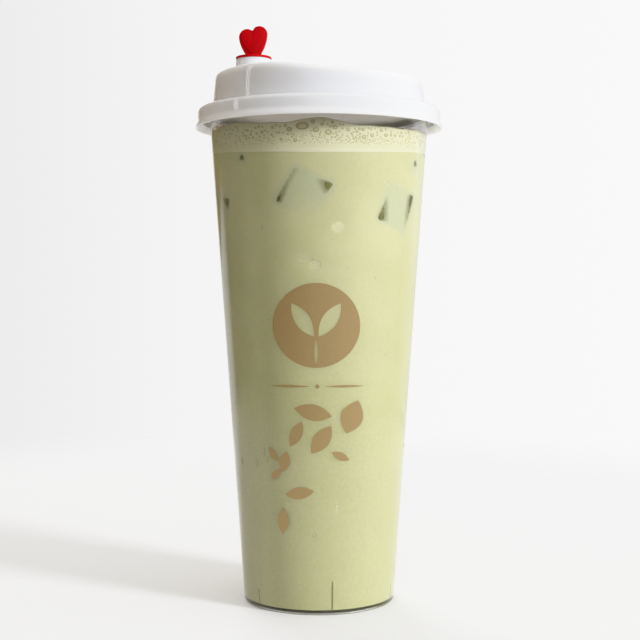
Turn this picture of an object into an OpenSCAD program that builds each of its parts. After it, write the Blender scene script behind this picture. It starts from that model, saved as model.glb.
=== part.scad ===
// Iced matcha latte in a tall clear takeaway cup, under a white press-on lid
// whose drinking hole is shut by a red heart-shaped plug.
// Millimetres, +Z up. The origin is the centre of the foot, on the surface that
// the cup stands on. The front of the cup faces -Y.

/* [Cup] */
// Height of the cup to the top of its rim
cup_h = 188; // [150:1:230]
// Outside diameter of the rolled rim
rim_d = 90; // [86:0.5:110]
// Height of the rolled rim
rim_h = 3; // [2:0.1:5]
// Outside diameter of the wall where it meets the rim
mouth_d = 84; // [76:0.5:86]
// Outside diameter of the wall at the foot
foot_d = 58; // [48:0.5:72]
// Thickness of the side wall
wall = 0.8; // [0.5:0.05:1.5]
// Radius of the rounded edge at the foot
foot_r = 0.8; // [0.4:0.1:1.5]
// Width of the ring that the cup stands on
foot_ring = 2.4; // [1.5:0.1:5]
// Depth of the hollow under the floor
floor_lift = 0.8; // [0.4:0.1:2]
// Thickness of the floor
floor_t = 1.2; // [0.8:0.1:2.5]

/* [Nesting ribs] */
// Number of upright ribs inside the foot
rib_count = 6; // [3:1:12]
// Height of a rib above the floor
rib_h = 10.4; // [4:0.1:20]
// Width of a rib
rib_w = 0.9; // [0.5:0.1:2]
// How far a rib stands in from the wall
rib_depth = 0.7; // [0.3:0.1:1.5]
// Angle of the first rib from the front
rib_angle = 9.5; // [0:0.5:60]

/* [Drink] */
// Depth of the froth's surface below the cup's rim
fill_gap = 9; // [7:0.5:60]
// Thickness of the froth
froth_t = 9; // [2:0.5:30]
// How far the froth climbs up the wall
froth_climb = 1.4; // [0.4:0.1:3]
// Width of the band in which it climbs
froth_band = 5; // [2:0.5:10]
// Number of large bubbles that stand up out of the froth
bubble_count = 14; // [0:1:30]
// Radius of the largest bubble
bubble_r = 2.6; // [1:0.1:4]

/* [Lid] */
// Thickness of the lid
lid_t = 1; // [0.7:0.1:1.6]
// Gap between the rim and the skirt round it
rim_gap = 0.45; // [0.2:0.05:1]
// Thickness of the skirt
skirt_t = 1.2; // [0.8:0.1:2]
// Height of the skirt outside, from the shoulder down to its lip
skirt_h = 7.5; // [6:0.1:14]
// How far the lip flares out past the skirt
lip_flare = 0.85; // [0.3:0.05:2]
// Height of the flared band
flare_h = 2.6; // [1:0.1:4]
// Radius of the rounded shoulder
shoulder_r = 1.3; // [0.5:0.1:2]
// Gap between the sealing ring and the mouth of the cup
seal_gap = 0.2; // [0.1:0.05:0.6]
// How far the sealing ring reaches down into the cup
seal_h = 2.6; // [1:0.1:5]
// Height of the raised crown above the shoulder, at the drinking side
crown_high = 12.9; // [9:0.1:20]
// Height of the crown on the far side
crown_low = 10.4; // [7:0.1:18]
// How far the crown's wall leans in over its height
crown_draft = 1.3; // [0:0.1:3]
// Where the top starts to rise, measured from the middle towards the far side
ramp_from = 9; // [0:1:30]
// Where the top is fully up, measured from the middle towards the drinking side
ramp_to = 23; // [5:1:30]
// Width of the crown's edge round the sunken deck
edge_w = 2.4; // [1.5:0.1:5]
// Depth of the deck below the edge
deck_drop = 1.2; // [0.5:0.1:3]

/* [Spout and plug] */
// Distance of the spout from the middle of the lid
spout_x = 25.2; // [15:0.1:28]
// Outside diameter of the spout at its top
spout_d = 13.4; // [12:0.1:16]
// How far the spout's wall spreads on its way down to the deck
spout_flare = 0.8; // [0:0.1:2]
// Diameter of the drinking hole
hole_d = 11; // [7:0.1:11.5]
// Height of the spout above the crown's edge
spout_h = 6.7; // [3:0.1:12]
// Diameter of the plug's flange
flange_d = 14; // [12:0.1:18]
// Thickness of the flange
flange_t = 1.1; // [0.8:0.1:2]
// Gap between the plug's stem and the hole
stem_gap = 0.2; // [0.1:0.05:0.5]
// Length of the stem below the flange
stem_h = 9; // [3:0.1:10]
// Thickness of the hollow stem's wall
stem_wall = 1; // [0.6:0.1:1.5]

/* [Heart] */
// Height of the heart's taller lobe above the flange
heart_h = 11.7; // [8:0.1:16]
// How much lower the other lobe is
lobe_drop = 1; // [0:0.1:3]
// Radius of each lobe
lobe_r = 3.15; // [2.7:0.05:4]
// Distance of each lobe's centre from the heart's middle line
lobe_x = 2.4; // [1.5:0.1:2.6]
// Half the width of the heart where it meets the flange
heart_foot = 2.45; // [1.5:0.05:4]
// Slope of the sides where they meet the flange
foot_slope = 29; // [10:1:45]
// Distance of the heart's middle line from the flange's centre
heart_shift = 0.5; // [0:0.1:1.5]
// Thickness of the heart's plate
plate_t = 1.5; // [1:0.1:3]
// How far the raised face stands out on each side of the plate
face_t = 0.4; // [0.2:0.1:1]
// Width of the border round the raised face
border = 0.7; // [0.3:0.05:1.2]
// Turn of the heart about the spout
heart_turn = -8; // [-180:1:180]

/* [Hidden] */
$fn = 96;
arc_steps = 6;
ramp_steps = 16;
spare = 1; // reach of a cutting shape past what it cuts

rim_under = cup_h - rim_h;
lean = (mouth_d - foot_d) / 2 / rim_under;
floor_top = floor_lift + floor_t;
froth_top = cup_h - fill_gap;
milk_line = froth_top - froth_t;
shoulder_z = cup_h + lid_t;
lip_z = shoulder_z - skirt_h;
skirt_in = rim_d / 2 + rim_gap;
skirt_out = skirt_in + skirt_t;
seal_out = inner_r(cup_h - seal_h) - seal_gap;
crown_r = seal_out;
edge_low = shoulder_z + crown_low;
edge_high = shoulder_z + crown_high;
spout_top = edge_high + spout_h;
spout_foot = edge_high - deck_drop - lid_t;

// Outer and inner radius of the cup's side wall at a height
function outer_r(z) = foot_d / 2 + lean * z;
function inner_r(z) = outer_r(z) - wall;

// Outer radius of the crown's wall at a height
function crown_at(z) = crown_r - crown_draft * (z - shoulder_z) / crown_high;

// Height of the crown's edge at a distance along X
function ease(t) = t <= 0 ? 0 : t >= 1 ? 1 : t * t * (3 - 2 * t);
function edge_z(x) = edge_low + (edge_high - edge_low) * ease((ramp_from - x) / (ramp_from + ramp_to));

// Points along an arc
function arc(c, r, from, to) =
    [for (i = [0:arc_steps]) let (a = from + (to - from) * i / arc_steps) c + r * [cos(a), sin(a)]];

// Points along a cubic curve between four control points, without its first point
function curve(a, b, c, d) =
    [for (i = [1:arc_steps]) let (t = i / arc_steps, s = 1 - t)
        s * s * s * a + 3 * s * s * t * b + 3 * s * t * t * c + t * t * t * d];

module cup() {
    color([0.92, 0.93, 0.92, 0.35]) {
        rotate_extrude() cup_outline();
        ribs();
    }
}

// Half section of the cup: floor over a hollow, side wall and rolled rim
module cup_outline() {
    rim_r = rim_h / 4;
    polygon(concat(
        [[0, floor_lift], [outer_r(0) - foot_ring, floor_lift], [outer_r(0) - foot_ring, 0]],
        arc([outer_r(foot_r) - foot_r, foot_r], foot_r, -90, 0),
        [[outer_r(rim_under), rim_under]],
        arc([rim_d / 2 - rim_r, rim_under + rim_r], rim_r, -90, 0),
        arc([rim_d / 2 - rim_r, cup_h - rim_r], rim_r, 0, 90),
        [[inner_r(cup_h), cup_h], [inner_r(floor_top), floor_top], [0, floor_top]]
    ));
}

// The upright ribs that keep nested cups apart
module ribs() {
    for (i = [0:rib_count - 1]) rotate([0, 0, rib_angle + i * 360 / rib_count]) rib();
}

// One rib at the front of the cup; it thins out towards its top
module rib() {
    bottom = floor_top - floor_t / 2;
    top = floor_top + rib_h;
    embed = wall / 2;
    rotate([90, 0, -90]) linear_extrude(rib_w, center = true) polygon([
        [inner_r(bottom) + embed, bottom],
        [inner_r(top) + embed, top],
        [inner_r(top) - rib_depth / 3, top],
        [inner_r(bottom) - rib_depth, bottom]
    ]);
}

module latte() {
    color([0.78, 0.79, 0.56]) difference() {
        rotate_extrude() polygon([
            [0, floor_top],
            [inner_r(floor_top), floor_top],
            [inner_r(milk_line), milk_line],
            [0, milk_line]
        ]);
        ribs();
    }
}

module froth() {
    color([0.86, 0.87, 0.68]) {
        rotate_extrude() froth_outline();
        for (i = [1:bubble_count]) bubble(i);
    }
}

// Half section of the froth: level in the middle, climbing the wall at its edge
module froth_outline() {
    edge = froth_top + froth_climb;
    foot = inner_r(froth_top) - froth_band;
    polygon(concat(
        [[0, milk_line], [inner_r(milk_line), milk_line], [inner_r(edge), edge]],
        curve([inner_r(edge), edge], [inner_r(edge) - froth_band / 4, froth_top],
              [foot + froth_band / 4, froth_top], [foot, froth_top]),
        [[0, froth_top]]
    ));
}

// Bubble number i, placed along a sunflower spiral and sunk for two thirds of its height
module bubble(i) {
    golden = 137.5;
    reach = inner_r(froth_top) - froth_band - bubble_r;
    size = bubble_r * (0.55 + 0.45 * abs(sin(i * 77)));
    rotate([0, 0, i * golden]) translate([reach * sqrt(i / bubble_count), 0, froth_top - size / 3])
        sphere(size);
}

module lid() {
    color([0.96, 0.96, 0.95]) difference() {
        union() {
            difference() {
                rotate_extrude() lid_outline();
                above_edge(0);
                intersection() {
                    cylinder(r = crown_at(edge_high) - edge_w, h = edge_high + spare);
                    above_edge(deck_drop);
                }
            }
            translate([-spout_x, 0, spout_foot])
                cylinder(d1 = spout_d + 2 * spout_flare, d2 = spout_d, h = spout_top - spout_foot);
        }
        lid_hollow();
        translate([-spout_x, 0, edge_low - deck_drop - lid_t])
            cylinder(d = hole_d, h = spout_top);
    }
}

// Half section of the solid lid: flared lip, skirt, rounded shoulder and crown,
// with the sealing ring that drops into the cup and the bead that snaps under the rim
module lid_outline() {
    bead = rim_gap + rim_h / 8;
    bead_z = rim_under - rim_gap;
    polygon(concat(
        [[0, cup_h - seal_h], [seal_out, cup_h - seal_h], [seal_out, cup_h], [skirt_in, cup_h],
         [skirt_in, bead_z], [skirt_in - bead, bead_z - bead], [skirt_in, bead_z - 2 * bead],
         [skirt_in, lip_z + flare_h / 2], [skirt_out + lip_flare - skirt_t / 2, lip_z]],
        arc([skirt_out + lip_flare - skirt_t / 4, lip_z + skirt_t / 4], skirt_t / 4, -90, 0),
        [[skirt_out + lip_flare / 4, lip_z + flare_h / 2], [skirt_out, lip_z + flare_h]],
        arc([skirt_out - shoulder_r, shoulder_z - shoulder_r], shoulder_r, 0, 90),
        [[crown_at(shoulder_z), shoulder_z], [crown_at(edge_high), edge_high], [0, edge_high]]
    ));
}

// What is hollow under the deck and inside the sealing ring
module lid_hollow() {
    low = cup_h - seal_h;
    intersection() {
        rotate_extrude() polygon([
            [0, low - spare],
            [seal_out - lid_t, low - spare],
            [seal_out - lid_t, shoulder_z],
            [crown_at(edge_high) - lid_t, edge_high],
            [0, edge_high]
        ]);
        below_edge(deck_drop + lid_t);
    }
}

// Everything above, or below, the crown's top as it slopes up to the drinking side,
// sunk by a depth
module above_edge(sink) { slope_block(sink, edge_high + 2 * spare); }
module below_edge(sink) { slope_block(sink, 0); }
module slope_block(sink, to_z) {
    half = crown_r + spare;
    rotate([90, 0, 0]) linear_extrude(2 * half, center = true) polygon(concat(
        [[-half, to_z], [-half, edge_high - sink]],
        [for (i = [0:ramp_steps]) let (x = -ramp_to + (ramp_from + ramp_to) * i / ramp_steps)
            [x, edge_z(x) - sink]],
        [[half, edge_low - sink], [half, to_z]]
    ));
}

module plug() {
    stem_r = hole_d / 2 - stem_gap;
    color([0.7, 0.02, 0.04]) translate([-spout_x, 0, spout_top]) {
        rotate_extrude() polygon(concat(
            [[0, 0], [stem_r - stem_wall, 0], [stem_r - stem_wall, -stem_h], [stem_r, -stem_h], [stem_r, 0]],
            arc([flange_d / 2 - flange_t / 3, flange_t / 3], flange_t / 3, -90, 0),
            arc([flange_d / 2 - flange_t / 3, flange_t * 2 / 3], flange_t / 3, 0, 90),
            [[0, flange_t]]
        ));
        rotate([0, 0, heart_turn]) translate([-heart_shift, 0, flange_t]) heart();
    }
}

// The grip: an upright heart-shaped plate with a smaller raised heart on each side,
// rooted half-way into the flange
module heart() {
    rotate([90, 0, 0]) {
        linear_extrude(plate_t, center = true) heart_outline(0);
        linear_extrude(plate_t + 2 * face_t, center = true) heart_outline(border);
    }
}

// Outline of the heart, drawn in by an inset; the right lobe is the taller one
module heart_outline(inset) {
    right = [lobe_x, heart_h - lobe_r];
    left = [lobe_x, heart_h - lobe_r - lobe_drop];
    lobe(right, inset);
    mirror([1, 0]) {
        lobe(left, inset);
        polygon([[0, 0], left, [-right[0], right[1]]]);
    }
    translate([-heart_foot + inset, -flange_t / 2]) square([2 * (heart_foot - inset), flange_t / 2]);
}

// One side of the heart: a round lobe about a centre, and the flank that runs down to the foot
module lobe(centre, inset) {
    join = -20;
    r = lobe_r - inset;
    foot = [heart_foot - inset, 0];
    flank = centre + r * [cos(join), sin(join)];
    handle = flank[1] / 3;
    polygon(concat(
        [[0, 0], foot],
        curve(foot, foot + handle * [sin(foot_slope), cos(foot_slope)],
              flank - handle * [-sin(join), cos(join)], flank),
        arc(centre, r, join, 180)
    ));
}

cup();
latte();
froth();
lid();
plug();
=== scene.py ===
import math
import random

import bmesh
import bpy
from mathutils import Matrix, Vector
from mathutils.bvhtree import BVHTree


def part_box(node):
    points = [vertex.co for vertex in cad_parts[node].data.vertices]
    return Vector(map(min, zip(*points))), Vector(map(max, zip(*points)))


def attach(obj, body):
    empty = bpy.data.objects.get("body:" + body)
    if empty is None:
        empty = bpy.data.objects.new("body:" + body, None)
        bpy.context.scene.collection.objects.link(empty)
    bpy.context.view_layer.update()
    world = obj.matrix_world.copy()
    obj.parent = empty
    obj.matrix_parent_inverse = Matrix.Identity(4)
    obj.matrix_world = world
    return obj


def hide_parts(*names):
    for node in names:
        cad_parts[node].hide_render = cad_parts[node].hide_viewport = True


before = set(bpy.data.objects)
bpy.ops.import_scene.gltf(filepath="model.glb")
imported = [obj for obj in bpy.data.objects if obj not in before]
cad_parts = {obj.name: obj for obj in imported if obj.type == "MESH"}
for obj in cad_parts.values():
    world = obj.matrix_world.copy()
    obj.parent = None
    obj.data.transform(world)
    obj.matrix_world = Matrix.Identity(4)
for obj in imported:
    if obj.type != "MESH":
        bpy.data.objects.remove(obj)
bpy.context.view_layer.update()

# ---------------------------------------------------------------------------
# The clear cup: one thin polypropylene moulding with a draft of about four
# degrees, a rolled rim that the lid snaps over, a hollow under its floor and
# six upright ribs inside its foot that keep nested cups from jamming.
# ---------------------------------------------------------------------------

MM = 0.001
CUP_SIDES = 198
RIB_TURN = math.radians(-0.5)
foot_radius = 29
taper = 13 / 185
wall_thickness = 0.8
floor_level = 2
tall_rib, short_rib = 12.4, 6.6
rim_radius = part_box("cup")[1].x / MM
rim_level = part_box("cup")[1].z / MM
rim_underside = rim_level - 3


def wall_radius(level, inset=0):
    """Radius of the cup's outer wall at a level, or of a surface that far inside it."""
    return foot_radius + taper * level - inset


def deselect():
    if bpy.context.mode != "OBJECT":
        bpy.ops.object.mode_set(mode="OBJECT")
    bpy.ops.object.select_all(action="DESELECT")


def pick(piece):
    """Makes one piece the selected and active one."""
    deselect()
    piece.select_set(True)
    bpy.context.view_layer.objects.active = piece
    return piece


def select_in_edit(piece, faces=None, edges=None):
    """In edit mode, selects the faces or edges that a test accepts, and nothing else."""
    bpy.ops.mesh.select_mode(type="FACE" if faces else "EDGE")
    bpy.ops.mesh.select_all(action="DESELECT")
    cage = bmesh.from_edit_mesh(piece.data)
    for element in cage.faces if faces else cage.edges:
        if (faces or edges)(element):
            element.select_set(True)
    bmesh.update_edit_mesh(piece.data)


def smooth(piece, angle=35):
    pick(piece)
    bpy.ops.object.transform_apply(location=True, rotation=True, scale=True)
    bpy.ops.object.shade_smooth_by_angle(angle=math.radians(angle))
    return piece


def turned(name, outline, sides=CUP_SIDES, turn=RIB_TURN):
    """A closed round body, drawn up ring by ring from a small disc on its axis.
    Each ring gives its radius, its level and, where its corner is rounded, the size of the round."""
    deselect()
    (radius, level), *rings = outline
    bpy.ops.mesh.primitive_circle_add(vertices=sides, radius=radius * MM, fill_type="NGON",
                                      rotation=(0, 0, turn))
    piece = bpy.context.object
    piece.name = piece.data.name = name
    bpy.ops.object.transform_apply(location=True, rotation=True, scale=True)
    bpy.ops.object.mode_set(mode="EDIT")
    bpy.ops.mesh.select_all(action="SELECT")
    bpy.ops.transform.translate(value=(0, 0, level * MM))
    for ring in rings:
        bpy.ops.mesh.extrude_region_move(TRANSFORM_OT_translate={"value": (0, 0, (ring[1] - level) * MM)})
        grow = ring[0] / radius
        bpy.ops.transform.resize(value=(grow, grow, 1), center_override=(0, 0, 0))
        radius, level = ring[:2]
    for ring in rings:
        if len(ring) == 3:
            def on_ring(edge):
                return all(abs(v.co.z - ring[1] * MM) < 1e-6
                           and abs(math.hypot(v.co.x, v.co.y) - ring[0] * MM) < 1e-6 for v in edge.verts)
            select_in_edit(piece, edges=on_ring)
            bpy.ops.mesh.bevel(offset=ring[2] * MM, segments=4, affect="EDGES")
    bpy.ops.mesh.select_all(action="SELECT")
    bpy.ops.mesh.normals_make_consistent(inside=False)
    bpy.ops.object.mode_set(mode="OBJECT")
    return piece


cup = turned("cup_wall", [
    (2, 0.8), (wall_radius(0, 2.4), 0.8, 0.3), (wall_radius(0, 2.4), 0, 0.3),
    (wall_radius(0), 0, 0.8), (wall_radius(14), 14), (wall_radius(rim_underside), rim_underside, 0.3),
    (rim_radius, rim_underside, 0.7), (rim_radius, rim_level, 0.7),
    (wall_radius(rim_level, wall_thickness), rim_level, 0.3),
    (wall_radius(tall_rib, wall_thickness), tall_rib), (wall_radius(short_rib, wall_thickness), short_rib),
    (wall_radius(floor_level, wall_thickness), floor_level, 0.25), (2, floor_level)])

# the ribs, pulled inwards out of one segment of the wall each, every second one shorter
rib_top = {True: tall_rib, False: short_rib}
rib_depth = 0.7
rib_start, rib_spacing = 9.5, 60


def rib_number(place):
    """Which rib a point of the wall belongs to, or None between the ribs."""
    turned_by = math.degrees(math.atan2(place.x, -place.y)) - rib_start
    number = round(turned_by / rib_spacing)
    return number % 6 if abs(turned_by - number * rib_spacing) < 0.5 else None


def on_rib(face):
    middle = face.calc_center_median() / MM
    number = rib_number(middle)
    if number is None or not floor_level + 0.3 < middle.z < rib_top[number % 2 == 0]:
        return False
    inside = math.hypot(middle.x, middle.y) < wall_radius(middle.z, wall_thickness / 2)
    return inside and abs(face.normal.z) < 0.5


pick(cup)
bpy.ops.object.mode_set(mode="EDIT")
select_in_edit(cup, faces=on_rib)
bpy.ops.mesh.extrude_region_shrink_fatten(TRANSFORM_OT_shrink_fatten={"value": rib_depth * MM})
bpy.ops.object.mode_set(mode="OBJECT")
smooth(cup, 30)


class Socket:
    """A shader socket that sums and products can be written with."""

    def __init__(self, finish, end):
        self.finish, self.end = finish, end

    def __add__(self, other):
        return self.finish.maths("ADD", self, other)

    def __sub__(self, other):
        return self.finish.maths("SUBTRACT", self, other)

    def __rsub__(self, other):
        return self.finish.maths("SUBTRACT", other, self)

    def __mul__(self, other):
        return self.finish.maths("MULTIPLY", self, other)

    def __truediv__(self, other):
        return self.finish.maths("DIVIDE", self, other)

    __radd__ = __add__
    __rmul__ = __mul__


class Finish:
    """The nodes of a new material, or of the room's light; every node comes from one method."""

    def __init__(self, name, made_in=bpy.data.materials):
        self.material = made_in.new(name)
        self.material.use_nodes = True
        self.tree = self.material.node_tree
        self.tree.nodes.clear()

    def node(self, kind, settings=None, sockets=None, output=0):
        made = self.tree.nodes.new(kind)
        for name, value in (settings or {}).items():
            if name == "stops":
                ramp = made.color_ramp
                while len(ramp.elements) < len(value):
                    ramp.elements.new(1)
                for element, (place, colour) in zip(ramp.elements, value):
                    element.position, element.color = place, (*colour, 1)
            else:
                setattr(made, name, value)
        for name, value in (sockets or {}).items():
            if isinstance(value, Socket):
                self.tree.links.new(value.end, made.inputs[name])
            else:
                made.inputs[name].default_value = value
        return Socket(self, made.outputs[output]) if made.outputs else None

    def maths(self, operation, first, second):
        return self.node("ShaderNodeMath", {"operation": operation}, {0: first, 1: second})

    def place(self, axis=None):
        """Where a point lies on the object: all of it, or along one axis."""
        where = self.node("ShaderNodeTexCoord", output=3)
        if axis is None:
            return where
        return self.node("ShaderNodeSeparateXYZ", sockets={0: where}, output="XYZ".index(axis))

    def noise(self, scale, detail=2.0, roughness=0.5):
        return self.node("ShaderNodeTexNoise", sockets={
            "Vector": self.place(), "Scale": scale, "Detail": detail, "Roughness": roughness})

    def step(self, value, low, high):
        """0 below low, 1 above high and smooth between them."""
        return self.node("ShaderNodeMapRange", {"interpolation_type": "SMOOTHSTEP"}, {
            "Value": value, "From Min": low, "From Max": high})

    def blend(self, mask, first, second):
        """The first colour where the mask is 0, the second where it is 1."""
        return self.node("ShaderNodeMix", {"data_type": "RGBA"}, {0: mask, 6: first, 7: second}, output=2)

    def surface(self, shader):
        self.node("ShaderNodeOutputMaterial", sockets={"Surface": shader})
        return self.material

    def plastic(self, colour, roughness, **more):
        """The main shader; the names of further sockets are written with _ for a space."""
        sockets = {"Base Color": colour, "Roughness": roughness}
        sockets.update({name.replace("_", " "): value for name, value in more.items()})
        return self.node("ShaderNodeBsdfPrincipled", sockets=sockets)


clear = Finish("clear_plastic")
haze = clear.noise(60, detail=3)
clear_shader = clear.plastic((0.97, 0.975, 0.96, 1), 0.02 + 0.05 * haze, Transmission_Weight=1.0, IOR=1.49)
lamp_ray = clear.node("ShaderNodeLightPath", output=1)
see_through = clear.node("ShaderNodeBsdfTransparent", sockets={"Color": (0.96, 0.965, 0.95, 1)})
cup.data.materials.append(clear.surface(clear.node(
    "ShaderNodeMixShader", sockets={0: lamp_ray, 1: clear_shader, 2: see_through})))
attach(cup, "root")
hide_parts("cup")

# ---------------------------------------------------------------------------
# The ice: cubes with melted edges, afloat under the froth and pressed against
# the wall, where they show as dark spots with a paler veil of milk round them.
# ---------------------------------------------------------------------------

ice_size = 17.5
ice_poke = 0.34


def duplicate(piece):
    """A copy of a piece with a mesh of its own."""
    copy = piece.copy()
    copy.data = piece.data.copy()
    bpy.context.scene.collection.objects.link(copy)
    return copy


def joined(pieces):
    """Makes one piece of several."""
    deselect()
    for piece in pieces:
        piece.select_set(True)
    bpy.context.view_layer.objects.active = pieces[0]
    bpy.ops.object.join()
    return bpy.context.object


def seat_on_wall(piece, angle, inset):
    """Pushes a piece outwards until it reaches a surface that far inside the wall's outside."""
    outwards = Vector((math.sin(angle), -math.cos(angle), 0))
    near, far = 0.0, 40 * MM
    for _ in range(30):
        push = (near + far) / 2
        over = max(math.hypot(*(v.co + outwards * push).xy)
                   - wall_radius(v.co.z / MM, inset) * MM for v in piece.data.vertices)
        near, far = (push, far) if over < 0 else (near, push)
    piece.data.transform(Matrix.Translation(outwards * near))


deselect()
bpy.ops.mesh.primitive_cube_add(size=ice_size * MM)
ice_cube = bpy.context.object
bpy.ops.object.mode_set(mode="EDIT")
bpy.ops.mesh.bevel(offset=1.8 * MM, segments=3, affect="EDGES")
bpy.ops.mesh.subdivide(number_cuts=3)
bpy.ops.mesh.vertices_smooth(factor=0.5, repeat=2)
bpy.ops.object.mode_set(mode="OBJECT")
melt = bpy.data.textures.new("melt", "CLOUDS")
melt.noise_scale = 9 * MM
uneven = ice_cube.modifiers.new("melted", "DISPLACE")
uneven.texture = melt
uneven.strength = 0.4 * MM
bpy.ops.object.modifier_apply(modifier="melted")

# angle from the front, level of the middle, turn on its own axis, roll, tip towards the wall, size
ice_places = [(-8.4, 155.6, 1.1, 28.5, 7.5, 0.95), (48, 150.5, 0, 20, 3, 0.95), (-72, 149.5, 0, 16, 11, 1.0),
              (-44, 164.8, 0, 45, 36, 0.88), (63, 163.4, 0, 43, 34, 0.88), (104, 150, 0, 20, 2, 1.0),
              (138, 158, 0, -25, 5, 1.05), (171, 152, 0, 10, 3, 0.95), (-158, 157, 0, 33, 6, 1.0),
              (-124, 150, 0, -12, 6, 1.05), (-100, 161, 0, 40, 12, 0.8)]
ice_cubes = []
for degrees, level, turn, roll, tip, scale in ice_places:
    angle = math.radians(degrees)
    lump = duplicate(ice_cube)
    lump.data.transform(
        Matrix.Translation((0, 0, level * MM)) @ Matrix.Rotation(angle + math.radians(turn), 4, "Z")
        @ Matrix.Rotation(math.radians(tip), 4, "X") @ Matrix.Rotation(math.radians(roll), 4, "Y")
        @ Matrix.Scale(scale, 4))
    seat_on_wall(lump, angle, wall_thickness - ice_poke)
    ice_cubes.append(lump)
bpy.data.objects.remove(ice_cube)
ice = smooth(joined(ice_cubes), 60)
ice.name = ice.data.name = "ice"

wet_ice = Finish("wet_ice")
depth = wet_ice.step(wet_ice.noise(420, detail=2), 0.35, 0.7)
ice_colour = wet_ice.blend(depth, (0.1, 0.095, 0.028, 1), (0.2, 0.2, 0.05, 1))
ice.data.materials.append(wet_ice.surface(wet_ice.plastic(ice_colour, 0.25 + 0.2 * depth)))
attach(ice, "root")

# ---------------------------------------------------------------------------
# The drink: matcha stirred into milk, opaque and pale green. It fills the cup
# to the line of the froth, wets the wall all round and runs in round the ribs.
# ---------------------------------------------------------------------------

wetting = 0.1
milk_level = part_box("latte")[1].z / MM


def milk_line(angle):
    """How far the line between drink and froth lies from its mean level at an angle from the front."""
    return -1.1 + 1.3 * (1 - math.cos(2 * angle))


def lift(piece, start, end, rise):
    """Raises a piece's points by rise(angle), fading in from one level to another."""
    for vertex in piece.data.vertices:
        share = min(1, max(0, (vertex.co.z / MM - start) / (end - start)))
        vertex.co.z += share * rise(math.atan2(vertex.co.x, -vertex.co.y)) * MM


latte_rows = [2.6 + 2.5 * i for i in range(55)] + [139 + 0.75 * i for i in range(41)]
latte = turned("latte_fill", [
    (2, floor_level - wetting),
    (wall_radius(floor_level, wall_thickness - wetting), floor_level - wetting, 0.2),
    *[(wall_radius(row, wall_thickness - wetting), row) for row in latte_rows],
    (wall_radius(milk_level, wall_thickness - wetting), milk_level + 0.3), (2, milk_level + 0.3)])


def on_groove(face):
    middle = face.calc_center_median() / MM
    number = rib_number(middle)
    return (number is not None and abs(face.normal.z) < 0.5
            and floor_level + 0.3 < middle.z < rib_top[number % 2 == 0])


pick(latte)
bpy.ops.object.mode_set(mode="EDIT")
select_in_edit(latte, faces=on_groove)
bpy.ops.mesh.inset(thickness=0.08 * MM)
bpy.ops.mesh.extrude_region_shrink_fatten(TRANSFORM_OT_shrink_fatten={"value": -rib_depth * MM})
bpy.ops.object.mode_set(mode="OBJECT")
lift(latte, 150, milk_level, milk_line)
smooth(latte, 40)

# how near the ice lies behind each point of the drink's surface, from 1 where it touches to 0
ice_reach = 1.8
ice_tree = BVHTree.FromObject(ice, bpy.context.evaluated_depsgraph_get())
veil = latte.data.attributes.new("veil", "FLOAT", "POINT")
for vertex, value in zip(latte.data.vertices, veil.data):
    found = ice_tree.find_nearest(vertex.co, ice_reach * MM)
    value.value = 1 - found[3] / (ice_reach * MM) if found[0] else 0.0

milky = Finish("milky_matcha")
up = milky.place("Z")
drift = milky.noise(38, detail=3, roughness=0.45)
grain = milky.noise(900, detail=1)
body_colour = milky.blend(milky.step(drift, 0.35, 0.68), (0.50, 0.495, 0.262, 1), (0.545, 0.54, 0.3, 1))
# the drink's colour turns darker and greener towards the bottom of the cup
darker_below = milky.blend(0.85, body_colour, (0.41, 0.405, 0.185, 1))
body_colour = milky.blend(milky.step(up, 0.0, 0.15), darker_below, body_colour)
near_ice = milky.node("ShaderNodeAttribute", {"attribute_name": "veil"}, output=2)
veiled = milky.blend(milky.step(near_ice, 0.05, 0.9) * 0.6, body_colour, (0.42, 0.46, 0.315, 1))
veiled = milky.blend(milky.step(near_ice, 0.8, 0.97) * 0.75, veiled, (0.17, 0.17, 0.07, 1))
speckled = milky.blend(milky.step(grain, 0.3, 0.75) * 0.12, veiled, (0.7, 0.69, 0.42, 1))
latte.data.materials.append(milky.surface(milky.plastic(
    speckled, 0.42 + 0.1 * drift, Subsurface_Weight=0.6, Subsurface_Radius=(1.0, 0.95, 0.5),
    Subsurface_Scale=0.002)))
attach(latte, "root")
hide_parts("latte")

# ---------------------------------------------------------------------------
# The froth: milk foam that floats on the drink. Its edge climbs the wall
# unevenly, and its bubbles grow from a fine cream at the bottom to wide cells.
# ---------------------------------------------------------------------------

froth_level = 178.6
foam_inset = wall_thickness - wetting - 0.05
dish_depth = 1.3


def bump(angle, centre, width):
    """A smooth hump of height 1 at an angle from the front, in degrees."""
    away = (math.degrees(angle) - centre + 180) % 360 - 180
    return math.exp(-(away / width) ** 2)


def froth_edge(angle):
    """How far the froth's edge on the wall lies above its usual level."""
    return (0.5 + 1.4 * bump(angle, -6, 7) + 1.4 * bump(angle, 4, 8) + 1.6 * bump(angle, -50, 21)
            - 0.6 * bump(angle, 36, 22) + 0.9 * bump(angle, 95, 18) + 0.8 * bump(angle, 150, 24)
            + 1.2 * bump(angle, -140, 20) + 0.15 * math.sin(13 * angle) + 0.1 * math.sin(29 * angle + 1))


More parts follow.
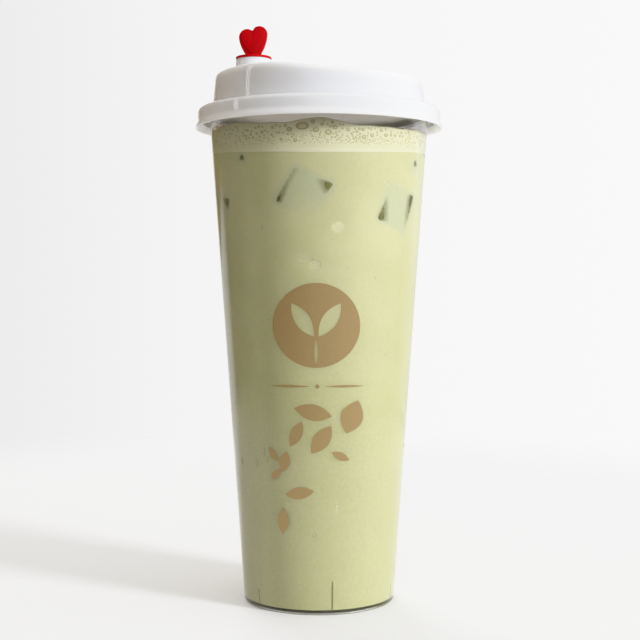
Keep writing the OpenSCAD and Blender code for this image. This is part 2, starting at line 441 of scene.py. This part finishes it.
froth_rows = [milk_level + 0.8 * i for i in range(1, 11)]
froth = turned("froth_layer", [
    (2, milk_level - 0.1), (wall_radius(milk_level, foam_inset), milk_level - 0.1),
    *[(wall_radius(row, foam_inset), row) for row in froth_rows],
    (wall_radius(froth_level, foam_inset), froth_level),
    (wall_radius(froth_level, wall_thickness + 0.8), froth_level - 0.25),
    (wall_radius(froth_level, wall_thickness + 2.2), froth_level - 0.9),
    (wall_radius(froth_level, wall_thickness + 5), froth_level - 1.2), (20, froth_level - dish_depth),
    (2, froth_level - dish_depth)])
lift(froth, milk_level + 3, froth_level, froth_edge)
for vertex in froth.data.vertices:
    if vertex.co.z < (milk_level + 2) * MM:
        vertex.co.z += milk_line(math.atan2(vertex.co.x, -vertex.co.y)) * MM * (
            1 - (vertex.co.z / MM - milk_level + 0.1) / 4)
smooth(froth, 50)

foamy = Finish("milk_foam")
height = foamy.place("Z")
foam_drift = foamy.noise(70, detail=2)
lowest = foamy.step(height, 0.1695, 0.1712)
foam_colour = foamy.blend(foamy.step(foam_drift, 0.3, 0.7), (0.60, 0.585, 0.35, 1), (0.66, 0.645, 0.405, 1))
foam_colour = foamy.blend(lowest * 0.55, (0.7, 0.69, 0.49, 1), foam_colour)
froth.data.materials.append(foamy.surface(foamy.plastic(
    foam_colour, 0.55 + 0.15 * foam_drift, Subsurface_Weight=0.2, Subsurface_Radius=(1.0, 0.95, 0.5),
    Subsurface_Scale=0.001)))
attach(froth, "root")
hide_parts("froth")

# ---------------------------------------------------------------------------
# The larger bubbles of the froth: cells of air pressed flat against the wall,
# drawn as flat discs with painted shade: darker than the foam round them for the shade inside each hollow
# cell.
# ---------------------------------------------------------------------------

cell_depth = 0.12
cell_proud = 0.03
lowest_cell = 171.9
crowding = 0.58
# angle from the front, level, width, height of the largest ones
wide_bubbles = [(-8.3, 178.0, 4.8, 2.7), (-14.9, 176.9, 2.0, 1.7), (-1.5, 176.6, 2.3, 1.8),
                (4.7, 175.8, 2.5, 2.0), (8, 177.5, 2.0, 1.6), (-12, 173.0, 1.5, 1.4),
                (-19.4, 173.5, 1.2, 1.1), (14.8, 176.8, 1.5, 1.4), (23.3, 174.4, 1.9, 1.6),
                (27.8, 175.2, 1.7, 1.5), (36.2, 175.6, 1.8, 1.4), (-17, 178.3, 1.2, 1.0)]
chance = random.Random(7)
for _ in range(16):
    wide_bubbles.append((chance.uniform(50, 320), chance.uniform(174, 177), *[chance.uniform(1.2, 2.6)] * 2))


def crowded(degrees, level, wide):
    """Whether a bubble would lie on one that is already there."""
    for other, other_level, other_wide, _ in wide_bubbles:
        along = math.remainder(degrees - other, 360) * math.radians(wall_radius(level))
        if math.hypot(along, level - other_level) < crowding * (wide + other_wide):
            return True
    return False


for _ in range(3400):
    degrees = chance.uniform(-180, 180)
    lift_up = chance.random()
    wide = 0.4 + 0.4 * lift_up + 0.9 * lift_up * chance.random() ** 2
    level = lowest_cell + (froth_level + froth_edge(math.radians(degrees)) - lowest_cell - 1) * lift_up
    thick_here = 0.16 + 0.84 * bump(math.radians(degrees), 8, 32) + 0.6 * bump(math.radians(degrees), 180, 90)
    if chance.random() < thick_here and not crowded(degrees, level, wide):
        wide_bubbles.append((degrees, level, wide, wide * chance.uniform(0.82, 1)))

deselect()
bpy.ops.mesh.primitive_uv_sphere_add(segments=12, ring_count=6, radius=0.5 * MM, rotation=(math.pi / 2, 0, 0))
cell = bpy.context.object
bpy.ops.object.transform_apply(location=True, rotation=True, scale=True)
rim = cell.data.attributes.new("rim", "FLOAT", "POINT")
for vertex, value in zip(cell.data.vertices, rim.data):
    value.value = math.hypot(vertex.co.x, vertex.co.z) / (0.5 * MM)
cell_copies = []
for degrees, level, wide, tall in wide_bubbles:
    angle = math.radians(degrees)
    copy = duplicate(cell)
    radius = wall_radius(level, foam_inset - cell_proud)
    copy.data.transform(
        Matrix.Rotation(angle, 4, "Z") @ Matrix.Translation((0, -radius * MM, level * MM))
        @ Matrix.Diagonal((wide, cell_depth, tall, 1)))
    cell_copies.append(copy)
bpy.data.objects.remove(cell)
bubbles = smooth(joined(cell_copies), 60)
bubbles.name = bubbles.data.name = "froth_bubbles"

airy = Finish("bubble")
airy_drift = airy.noise(300, detail=2)
# painted shade: the cells' colours are darker than the foam's
cell_shade_colour = airy.blend(airy_drift, (0.48, 0.44, 0.24, 1), (0.57, 0.53, 0.32, 1))
rim_shade_mask = airy.node("ShaderNodeAttribute", {"attribute_name": "rim"}, output=2)
# painted shade: each cell darkens towards its rim, as a hollow would
cell_shade_colour = airy.blend(airy.step(rim_shade_mask, 0.45, 0.95), cell_shade_colour, (0.34, 0.31, 0.135, 1))
bubbles.data.materials.append(airy.surface(airy.plastic(cell_shade_colour, 0.3 + 0.2 * airy_drift)))
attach(bubbles, "root")

# The thin line of drink that the froth's edge draws up the wall.
deselect()
bpy.ops.mesh.primitive_torus_add(
    major_radius=wall_radius(froth_level, wall_thickness - wetting) * MM, minor_radius=0.12 * MM,
    major_segments=360, minor_segments=8, location=(0, 0, (froth_level - 0.05) * MM))
froth_line = bpy.context.object
froth_line.name = froth_line.data.name = "froth_line"
smooth(froth_line, 60)
lift(froth_line, 170, 171, froth_edge)
edge_film = Finish("edge_film")
film_drift = edge_film.noise(200)
edge_film_colour = edge_film.blend(film_drift, (0.4, 0.36, 0.2, 1), (0.54, 0.5, 0.32, 1))
froth_line.data.materials.append(edge_film.surface(edge_film.plastic(
    edge_film_colour, 0.2 + 0.2 * film_drift)))
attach(froth_line, "root")

# ---------------------------------------------------------------------------
# The lid: a glossy white moulding that snaps over the rim. A sealing ring drops
# into the mouth, and the crown rises in a soft step towards the drinking side.
# ---------------------------------------------------------------------------

shoulder_level = rim_level + 1
lip_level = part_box("lid")[0].z / MM
lip_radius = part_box("lid")[1].x / MM
skirt_radius, skirt_inside = 46.65, 45.45
seal_radius = wall_radius(rim_level - 2.6, wall_thickness + 0.2)
crown_low, crown_high = 10.4, 12.9
crown_draft = 1.3
deck_drop = 1.2
step_start, step_length = 9, 32


def crown_rise(x):
    """Height of the crown's step at a distance from the middle, as a share of the whole step."""
    share = min(1, max(0, (step_start - x) / step_length))
    return share * share * (3 - 2 * share)


lid = turned("lid_shell", [
    (2, shoulder_level + crown_low - deck_drop - 1), (38.8, shoulder_level + crown_low - deck_drop - 1, 0.4),
    (seal_radius - 1, shoulder_level + 0.5), (seal_radius - 1, rim_level - 2.6, 0.3),
    (seal_radius, rim_level - 2.6, 0.3), (seal_radius, rim_level),
    (skirt_inside, rim_level), (skirt_inside, rim_level - 3.4), (44.7, rim_level - 4.2),
    (skirt_inside, rim_level - 5), (skirt_inside, lip_level + 1.6),
    (lip_radius - 0.7, lip_level, 0.15), (lip_radius, lip_level, 0.2),
    (lip_radius - 0.05, lip_level + 0.9, 0.3), (skirt_radius + 0.1, lip_level + 2.4, 0.5),
    (skirt_radius, lip_level + 3.2), (skirt_radius - 0.05, shoulder_level, 1.5),
    (seal_radius + 0.5, shoulder_level + 0.05, 0.35), (seal_radius - 0.1, shoulder_level + 0.7, 0.3),
    (seal_radius - 0.55, shoulder_level + 4.5), (seal_radius - 1.0, shoulder_level + 8),
    (seal_radius - crown_draft, shoulder_level + crown_low, 1.1),
    (seal_radius - crown_draft - 2.2, shoulder_level + crown_low, 0.5),
    (seal_radius - crown_draft - 2.8, shoulder_level + crown_low - deck_drop, 0.4),
    (20, shoulder_level + crown_low - deck_drop), (2, shoulder_level + crown_low - deck_drop)])
for vertex in lid.data.vertices:
    share = min(1, max(0, (vertex.co.z / MM - shoulder_level - 1) / (crown_low - deck_drop - 2)))
    vertex.co.z += share * (crown_high - crown_low) * crown_rise(vertex.co.x / MM) * MM
smooth(lid, 40)

glossy = Finish("white_plastic")
flow = glossy.noise(25, detail=2)
skin = glossy.noise(1400, detail=1)
white = glossy.blend(flow, (0.91, 0.9, 0.88, 1), (0.94, 0.935, 0.92, 1))
ripple = glossy.node("ShaderNodeBump", sockets={"Strength": 0.015, "Distance": 0.0002, "Height": skin})
white_plastic = glossy.surface(glossy.plastic(
    white, 0.02 + 0.02 * flow, Normal=ripple, Subsurface_Weight=0.75, Subsurface_Radius=(1.0, 0.9, 0.75),
    Subsurface_Scale=0.005))
lid.data.materials.append(white_plastic)
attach(lid, "root")
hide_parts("lid")

# The spout: a short round neck moulded on the deck near the crown's edge, with the drinking hole.
spout_x = -25.2
spout_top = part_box("lid")[1].z / MM
spout_hole = 5.5
deck_level = shoulder_level + crown_high - deck_drop
spout = turned("spout", [
    (1, deck_level - 0.6), (9.2, deck_level - 0.6), (9, deck_level - 0.02), (7.9, deck_level + 0.35),
    (7.4, deck_level + 1.2), (7.15, deck_level + 2.5), (6.7, spout_top, 0.25), (spout_hole, spout_top, 0.2),
    (spout_hole, deck_level + 0.5), (1, deck_level + 0.5)], sides=96)
spout.data.transform(Matrix.Translation((spout_x * MM, 0, 0)))
smooth(spout, 40)
spout.data.materials.append(white_plastic)
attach(spout, "root")

# ---------------------------------------------------------------------------
# The plug: a red moulding whose hollow stem shuts the spout. Its flange lies on
# the spout's edge, and its grip is an upright heart with a raised face.
# ---------------------------------------------------------------------------

plug_low, plug_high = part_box("plug")
flange_level = spout_top
flange_thickness = 1.1
plug = turned("plug_flange", [
    (1, flange_level), (4.3, flange_level), (4.3, plug_low.z / MM), (5.3, plug_low.z / MM),
    (5.3, flange_level), (6.95, flange_level, 0.3), (6.95, flange_level + 0.95, 0.4),
    (4.5, flange_level + flange_thickness), (1, flange_level + flange_thickness)],
    sides=96)
plug.data.transform(Matrix.Translation((spout_x * MM, 0, 0)))

heart_height = plug_high.z / MM - flange_level - flange_thickness
lobe = 3.15
lobe_out, notch_out = 2.4, 2.3
flank_join, foot_slope = math.radians(-4), math.radians(35)


def heart_half(side, drop, inset, foot_half):
    """Points of one side of the heart, from its foot up the flank and over the lobe to the notch."""
    centre = Vector((side * lobe_out, heart_height - lobe - drop))
    radius = lobe - inset
    foot = Vector((side * foot_half, 0.6 * inset))
    flank = centre + radius * Vector((side * math.cos(flank_join), math.sin(flank_join)))
    handle = flank.y * 0.36
    first = foot + handle * Vector((side * math.sin(foot_slope), math.cos(foot_slope)))
    second = flank - handle * Vector((side * -math.sin(flank_join), math.cos(flank_join)))
    points = []
    for i in range(9):
        t = i / 9
        points.append((1 - t) ** 3 * foot + 3 * (1 - t) ** 2 * t * first
                      + 3 * (1 - t) * t * t * second + t ** 3 * flank)
    last = 180 - math.degrees(math.acos(min(1, notch_out / radius)))
    for i in range(15):
        turn = flank_join + (math.radians(last) - flank_join) * i / 14
        points.append(centre + radius * Vector((side * math.cos(turn), math.sin(turn))))
    return points


def heart_plate(name, inset, foot_half, thick, round_off):
    """An upright heart-shaped plate with rounded edges."""
    right = heart_half(1, 0, inset, foot_half)
    left = heart_half(-1, 1, inset, foot_half)
    notch = (right[-1] + left[-1]) / 2
    outline = [Vector((foot_half, 0.6 * inset - 0.6)), *right[:-1], notch, *reversed(left[:-1]),
               Vector((-foot_half, 0.6 * inset - 0.6))]
    deselect()
    bpy.ops.mesh.primitive_circle_add(vertices=len(outline), radius=MM, fill_type="NGON")
    plate = bpy.context.object
    plate.name = plate.data.name = name
    for vertex, point in zip(plate.data.vertices, outline):
        vertex.co = Vector((point.x, -thick / 2, point.y)) * MM
    bpy.ops.object.mode_set(mode="EDIT")
    bpy.ops.mesh.select_all(action="SELECT")
    bpy.ops.mesh.extrude_region_move(TRANSFORM_OT_translate={"value": (0, thick * MM, 0)})
    select_in_edit(plate, edges=lambda edge: abs(edge.verts[0].co.y - edge.verts[1].co.y) < 1e-7)
    bpy.ops.mesh.bevel(offset=round_off * MM, segments=4, affect="EDGES")
    bpy.ops.mesh.select_all(action="SELECT")
    bpy.ops.mesh.normals_make_consistent(inside=False)
    bpy.ops.object.mode_set(mode="OBJECT")
    return plate


heart = heart_plate("plug_heart", 0, 2.45, 1.9, 0.45)
face = heart_plate("plug_face", 0.95, 0.5, 2.5, 0.25)
heart = joined([heart, face])
heart.data.transform(
    Matrix.Translation((spout_x * MM, 0, (flange_level + flange_thickness) * MM))
    @ Matrix.Rotation(math.radians(-8), 4, "Z") @ Matrix.Translation((-0.15 * MM, 0, 0)))
plug = smooth(joined([plug, heart]), 40)
plug.name = plug.data.name = "plug"

scarlet = Finish("red_plastic")
red_flow = scarlet.noise(160, detail=2)
red = scarlet.blend(red_flow, (0.45, 0.0003, 0.003, 1), (0.53, 0.0006, 0.004, 1))
plug.data.materials.append(scarlet.surface(scarlet.plastic(
    red, 0.2 + 0.12 * red_flow, Specular_IOR_Level=0.06)))
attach(plug, "root")
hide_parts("plug")

# ---------------------------------------------------------------------------
# The print on the front of the cup: a golden-brown ink a few hundredths of a
# millimetre thick. A round badge with a plain sprig left bare, a thin rule and
# a loose fall of plain leaves. It throws no shadow on the drink behind it.
# ---------------------------------------------------------------------------

stamp_distance, stamp_depth = 35, 24


def on_front(piece, along, level, roll):
    """Turns an upright outline to its place on the wall, given along the wall and up it."""
    angle = along / wall_radius(level)
    piece.data.transform(
        Matrix.Rotation(angle, 4, "Z") @ Matrix.Translation((0, -stamp_distance * MM, level * MM))
        @ Matrix.Rotation(math.radians(roll), 4, "Y"))
    return piece


def stamp(sides, width, height):
    """A round stamp that faces the front, as deep as the wall's curve needs."""
    deselect()
    bpy.ops.mesh.primitive_cylinder_add(vertices=sides, radius=0.5, depth=1, rotation=(math.pi / 2, 0, 0))
    made = bpy.context.object
    bpy.ops.object.transform_apply(location=True, rotation=True, scale=True)
    made.data.transform(Matrix.Diagonal((width * MM, stamp_depth * MM, height * MM, 1)))
    return made


def leaf_stamp(width, length):
    """A stamp with two pointed ends."""
    made = stamp(36, width, length)
    for vertex in made.data.vertices:
        vertex.co.x *= math.sqrt(max(0.0, 1 - (vertex.co.z / (length / 2 * MM)) ** 2))
    return made


def cut(piece, tool, operation):
    """Cuts a piece with a tool, or keeps only what they share."""
    modifier = piece.modifiers.new("cut", "BOOLEAN")
    modifier.operation, modifier.object, modifier.solver = operation, tool, "EXACT"
    modifier.use_self = True
    pick(piece)
    bpy.ops.object.modifier_apply(modifier="cut")
    bpy.data.objects.remove(tool)


badge = on_front(stamp(72, 31.6, 30.6), -1.0, 107, 0)
sprig = [on_front(leaf_stamp(5.6, 14.5), -1.0 + side * 5.0, 109.0, side * 34) for side in (-1, 1)]
sprig.append(on_front(leaf_stamp(1.2, 9), -1.0, 97.4, 0))
cut(badge, joined(sprig), "DIFFERENCE")
rule = [on_front(stamp(4, 1.9, 1.9), -0.6, 84.9, 0)]
rule += [on_front(leaf_stamp(0.9, 15.5), -0.6 + side * 10.2, 84.9, 90) for side in (-1, 1)]
# along the wall, level, width, length and roll of each falling leaf
leaves = [(-2.2, 75.4, 6.0, 14.2, -78), (12.4, 73.6, 9.0, 12.8, 20), (-8.4, 67.4, 4.6, 10.4, 26),
          (0.9, 65.4, 6.2, 12.4, 36), (-17.6, 59.6, 2.8, 6.4, -36), (-12.9, 57.1, 4.4, 8.0, 14),
          (8.0, 59.2, 3.0, 7.4, -66), (-16.4, 52.2, 2.9, 5.2, 48), (-7.2, 45.6, 4.4, 10.8, 82),
          (-13.6, 35.0, 4.6, 10.2, 3)]
falling = [on_front(leaf_stamp(width, length), along, level, roll)
           for along, level, width, length, roll in leaves]
stamps = joined([badge, *rule, *falling])

ink_in, ink_out = -0.03, 0.035
band_low, band_high = 24, 126
ink = turned("print", [
    (20, band_low), (wall_radius(band_low, -ink_out), band_low),
    (wall_radius(band_high, -ink_out), band_high), (20, band_high)])
inner_block = turned("block", [
    (19, band_low - 1), (wall_radius(band_low - 1, -ink_in), band_low - 1),
    (wall_radius(band_high + 1, -ink_in), band_high + 1), (19, band_high + 1)])
cut(ink, inner_block, "DIFFERENCE")
# known fault: this cut also leaves faces deep inside the cup, which the drink hides
cut(ink, stamps, "INTERSECT")
smooth(ink, 40)

printed = Finish("golden_ink")
ink_grain = printed.noise(3200, detail=2, roughness=0.7)
ink_drift = printed.noise(60, detail=1)
gold = printed.blend(printed.step(ink_grain, 0.3, 0.72), (0.33, 0.225, 0.09, 1), (0.40, 0.28, 0.12, 1))
gold = printed.blend(ink_drift * 0.3, gold, (0.35, 0.24, 0.096, 1))
ink.data.materials.append(printed.surface(printed.plastic(gold, 0.42 + 0.1 * ink_grain, Metallic=0.35)))
ink.visible_shadow = False
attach(ink, "root")

# ---------------------------------------------------------------------------
# Condensation: a few flat drops of water on the outside of the cold cup.
# ---------------------------------------------------------------------------

# angle from the front, level, width, height, thickness
drops = [(-32.8, 142.2, 1.7, 2.2, 0.8), (10.3, 142.3, 4.4, 5.0, 0.14), (-7.2, 131.2, 6.0, 2.6, 0.9),
         (-2.0, 128.8, 4.0, 3.8, 1.0), (-37.9, 60.3, 1.4, 3.6, 0.24), (-35.5, 57.4, 1.2, 2.0, 0.24),
         (-44.5, 56.0, 1.6, 3.4, 0.24),
         (12.9, 41.0, 1.5, 1.6, 0.9), (12.2, 39.4, 1.3, 2.2, 0.8), (-6.2, 29.8, 2.6, 1.4, 0.6),
         (-3.2, 29.6, 1.3, 3.2, 0.6), (-62, 55.5, 1.6, 3.0, 0.3), (2, 47, 0.9, 1.1, 0.5),
         (-26, 118, 1.4, 1.8, 0.3), (33, 124, 0.8, 0.9, 0.3), (44, 96, 1.0, 1.4, 0.3),
         (150, 120, 2.2, 3, 0.4), (120, 80, 1.6, 2.6, 0.4), (-110, 100, 2.0, 3.2, 0.4),
         (-150, 60, 1.4, 2.0, 0.4), (80, 60, 1.5, 2.2, 0.4)]
for _ in range(60):
    size = chance.uniform(0.25, 0.7)
    drops.append((chance.uniform(-180, 180), chance.uniform(30, 172), size, size * 1.2, 0.22))
deselect()
bpy.ops.mesh.primitive_uv_sphere_add(segments=20, ring_count=10, radius=0.5 * MM)
drop = bpy.context.object
drop_copies = []
for degrees, level, wide, tall, thick in drops:
    angle = math.radians(degrees)
    copy = duplicate(drop)
    copy.data.transform(
        Matrix.Rotation(angle, 4, "Z") @ Matrix.Translation((0, -wall_radius(level) * MM, level * MM))
        @ Matrix.Diagonal((wide, thick, tall, 1)))
    drop_copies.append(copy)
bpy.data.objects.remove(drop)
water = smooth(joined(drop_copies), 60)
water.name = water.data.name = "water_drops"
wet = Finish("water")
wet_grain = wet.noise(500)
wet_shader = wet.plastic((0.98, 0.985, 0.97, 1), 0.01 + 0.02 * wet_grain, Transmission_Weight=1.0, IOR=1.33)
wet_ray = wet.node("ShaderNodeLightPath", output=1)
wet_clear = wet.node("ShaderNodeBsdfTransparent")
water.data.materials.append(wet.surface(wet.node(
    "ShaderNodeMixShader", sockets={0: wet_ray, 1: wet_shader, 2: wet_clear})))
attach(water, "root")

# ---------------------------------------------------------------------------
# The studio: a pale table that fades into a pale room, a soft lamp high at the
# right, a weaker one behind, and a darker, warmer side at the left.
# ---------------------------------------------------------------------------

deselect()
bpy.ops.mesh.primitive_circle_add(vertices=96, radius=3, fill_type="NGON")
table = bpy.context.object
table.name = "table"
surface = Finish("table_top")
behind_cup = surface.node("ShaderNodeVectorMath", {"operation": "DISTANCE"}, {
    0: surface.place(), 1: (-0.03, 0.14, 0)}, output=1)
fade_start, fade_end = 0.22, 0.46
fade = surface.step(behind_cup, fade_start, fade_end)
table.data.materials.append(surface.surface(surface.node("ShaderNodeMixShader", sockets={
    0: fade, 1: surface.plastic((0.97, 0.975, 0.99, 1), 0.6),
    2: surface.node("ShaderNodeBsdfTransparent")})))

room = Finish("room", bpy.data.worlds)
bpy.context.scene.world = room.material
toward = room.node("ShaderNodeTexCoord", output=0)
right, front, up = (room.node("ShaderNodeSeparateXYZ", sockets={0: toward}, output=axis) for axis in range(3))
# once round the room: 0 and 1 are behind the cup, 0.25 at its left, 0.5 before it, 0.75 at its right
round_room = room.maths("ARCTAN2", right, 0 - front) / (2 * math.pi) + 0.5
wall_white, wall_brown, gap_light = (0.85, 0.85, 0.85), (0.22, 0.135, 0.04), (7.5, 7.1, 6.5)
floor_dark = (0.17, 0.14, 0.1)
softbox = (2.8, 2.85, 3.1)


def bearing(degrees):
    return degrees / 360 + 0.5


def part_of_softbox(share):
    return tuple(share * value for value in softbox)


walls = room.node("ShaderNodeValToRGB", {"stops": [
    (0.0, wall_white), (bearing(-164), wall_white), (bearing(-156), wall_brown), (bearing(-86.4), wall_brown),
    (bearing(-86.2), gap_light), (bearing(-85.4), gap_light), (bearing(-85.2), wall_brown),
    (bearing(-83.2), wall_brown), (bearing(-83.0), gap_light), (bearing(-82.2), gap_light),
    (bearing(-82.0), wall_brown), (bearing(-30), wall_brown), (bearing(-12), part_of_softbox(0.32)),
    (bearing(5), part_of_softbox(0.64)), (bearing(20), part_of_softbox(0.68)),
    (bearing(52), part_of_softbox(0.78)),
    (bearing(58), softbox), (bearing(80), softbox), (bearing(100), part_of_softbox(0.75)),
    (bearing(122), part_of_softbox(0.45)), (bearing(138), part_of_softbox(0.26)),
    (1.0, wall_white)]}, {0: round_room})
floor = room.node("ShaderNodeValToRGB", {"stops": [
    (0.0, wall_white), (bearing(-138), wall_white), (bearing(-130), floor_dark), (bearing(110), floor_dark),
    (bearing(135), wall_white), (1.0, wall_white)]}, {0: round_room})
lit = room.blend(room.step(up, 0.25, 0.6), walls, (0.6, 0.57, 0.52, 1))
lit = room.blend(room.step(up, -0.04, -0.01), floor, lit)
shown = room.node("ShaderNodeValToRGB", {"stops": [
    (0.37, (0.92, 0.92, 0.92)), (0.5, (1.16, 1.16, 1.16)), (0.62, (1.24, 1.24, 1.24))]},
    {0: right * 0.5 + 0.5})
seen = room.node("ShaderNodeLightPath", output=0)
light_of_room = room.node("ShaderNodeBackground", sockets={0: lit, 1: 1.0})
back_of_room = room.node("ShaderNodeBackground", sockets={0: shown, 1: 1.0})
room.node("ShaderNodeOutputWorld", sockets={0: room.node(
    "ShaderNodeMixShader", sockets={0: seen, 1: light_of_room, 2: back_of_room})})


def lamp(name, size, energy, place, colour=(1, 1, 1)):
    """A square soft lamp that points at the cup and is not seen itself."""
    made = bpy.data.objects.new(name, bpy.data.lights.new(name, "AREA"))
    bpy.context.scene.collection.objects.link(made)
    made.data.size = size
    made.data.energy = energy
    made.data.color = colour
    made.location = place
    made.rotation_euler = (Vector((0, 0, 0.1)) - made.location).to_track_quat("-Z", "Y").to_euler()
    made.visible_camera = False
    made.visible_glossy = False


lamp("window", 0.55, 72, (2.45, -1.6, 1.55), (0.93, 0.95, 1.0))
lamp("back_light", 1.3, 26, (-0.7, 2.2, 1.7))

# The camera stands half a metre in front, a little above the middle of the cup.
camera = bpy.data.objects.new("camera", bpy.data.cameras.new("camera"))
bpy.context.scene.collection.objects.link(camera)
camera.location = (0, -0.4886, 0.121)
camera.rotation_euler = (math.radians(90 - 1.523), 0, math.radians(-0.047))
camera.data.lens = 70.8
camera.data.clip_start = 0.01
bpy.context.scene.camera = camera
view = bpy.context.scene.view_settings
view.view_transform = "Standard"
view.use_curve_mapping = True
# the highlights roll off softly up to this brightness, so that white plastic keeps its shading
brightest = 2.0
view.curve_mapping.white_level = (brightest, brightest, brightest)
shoulder = view.curve_mapping.curves[3]
shoulder.points[1].location = (1.0, 0.99)
for light, shown_as in ((0.6, 0.6), (0.9, 0.83), (1.25, 0.945)):
    shoulder.points.new(light / brightest, shown_as)
view.curve_mapping.update()
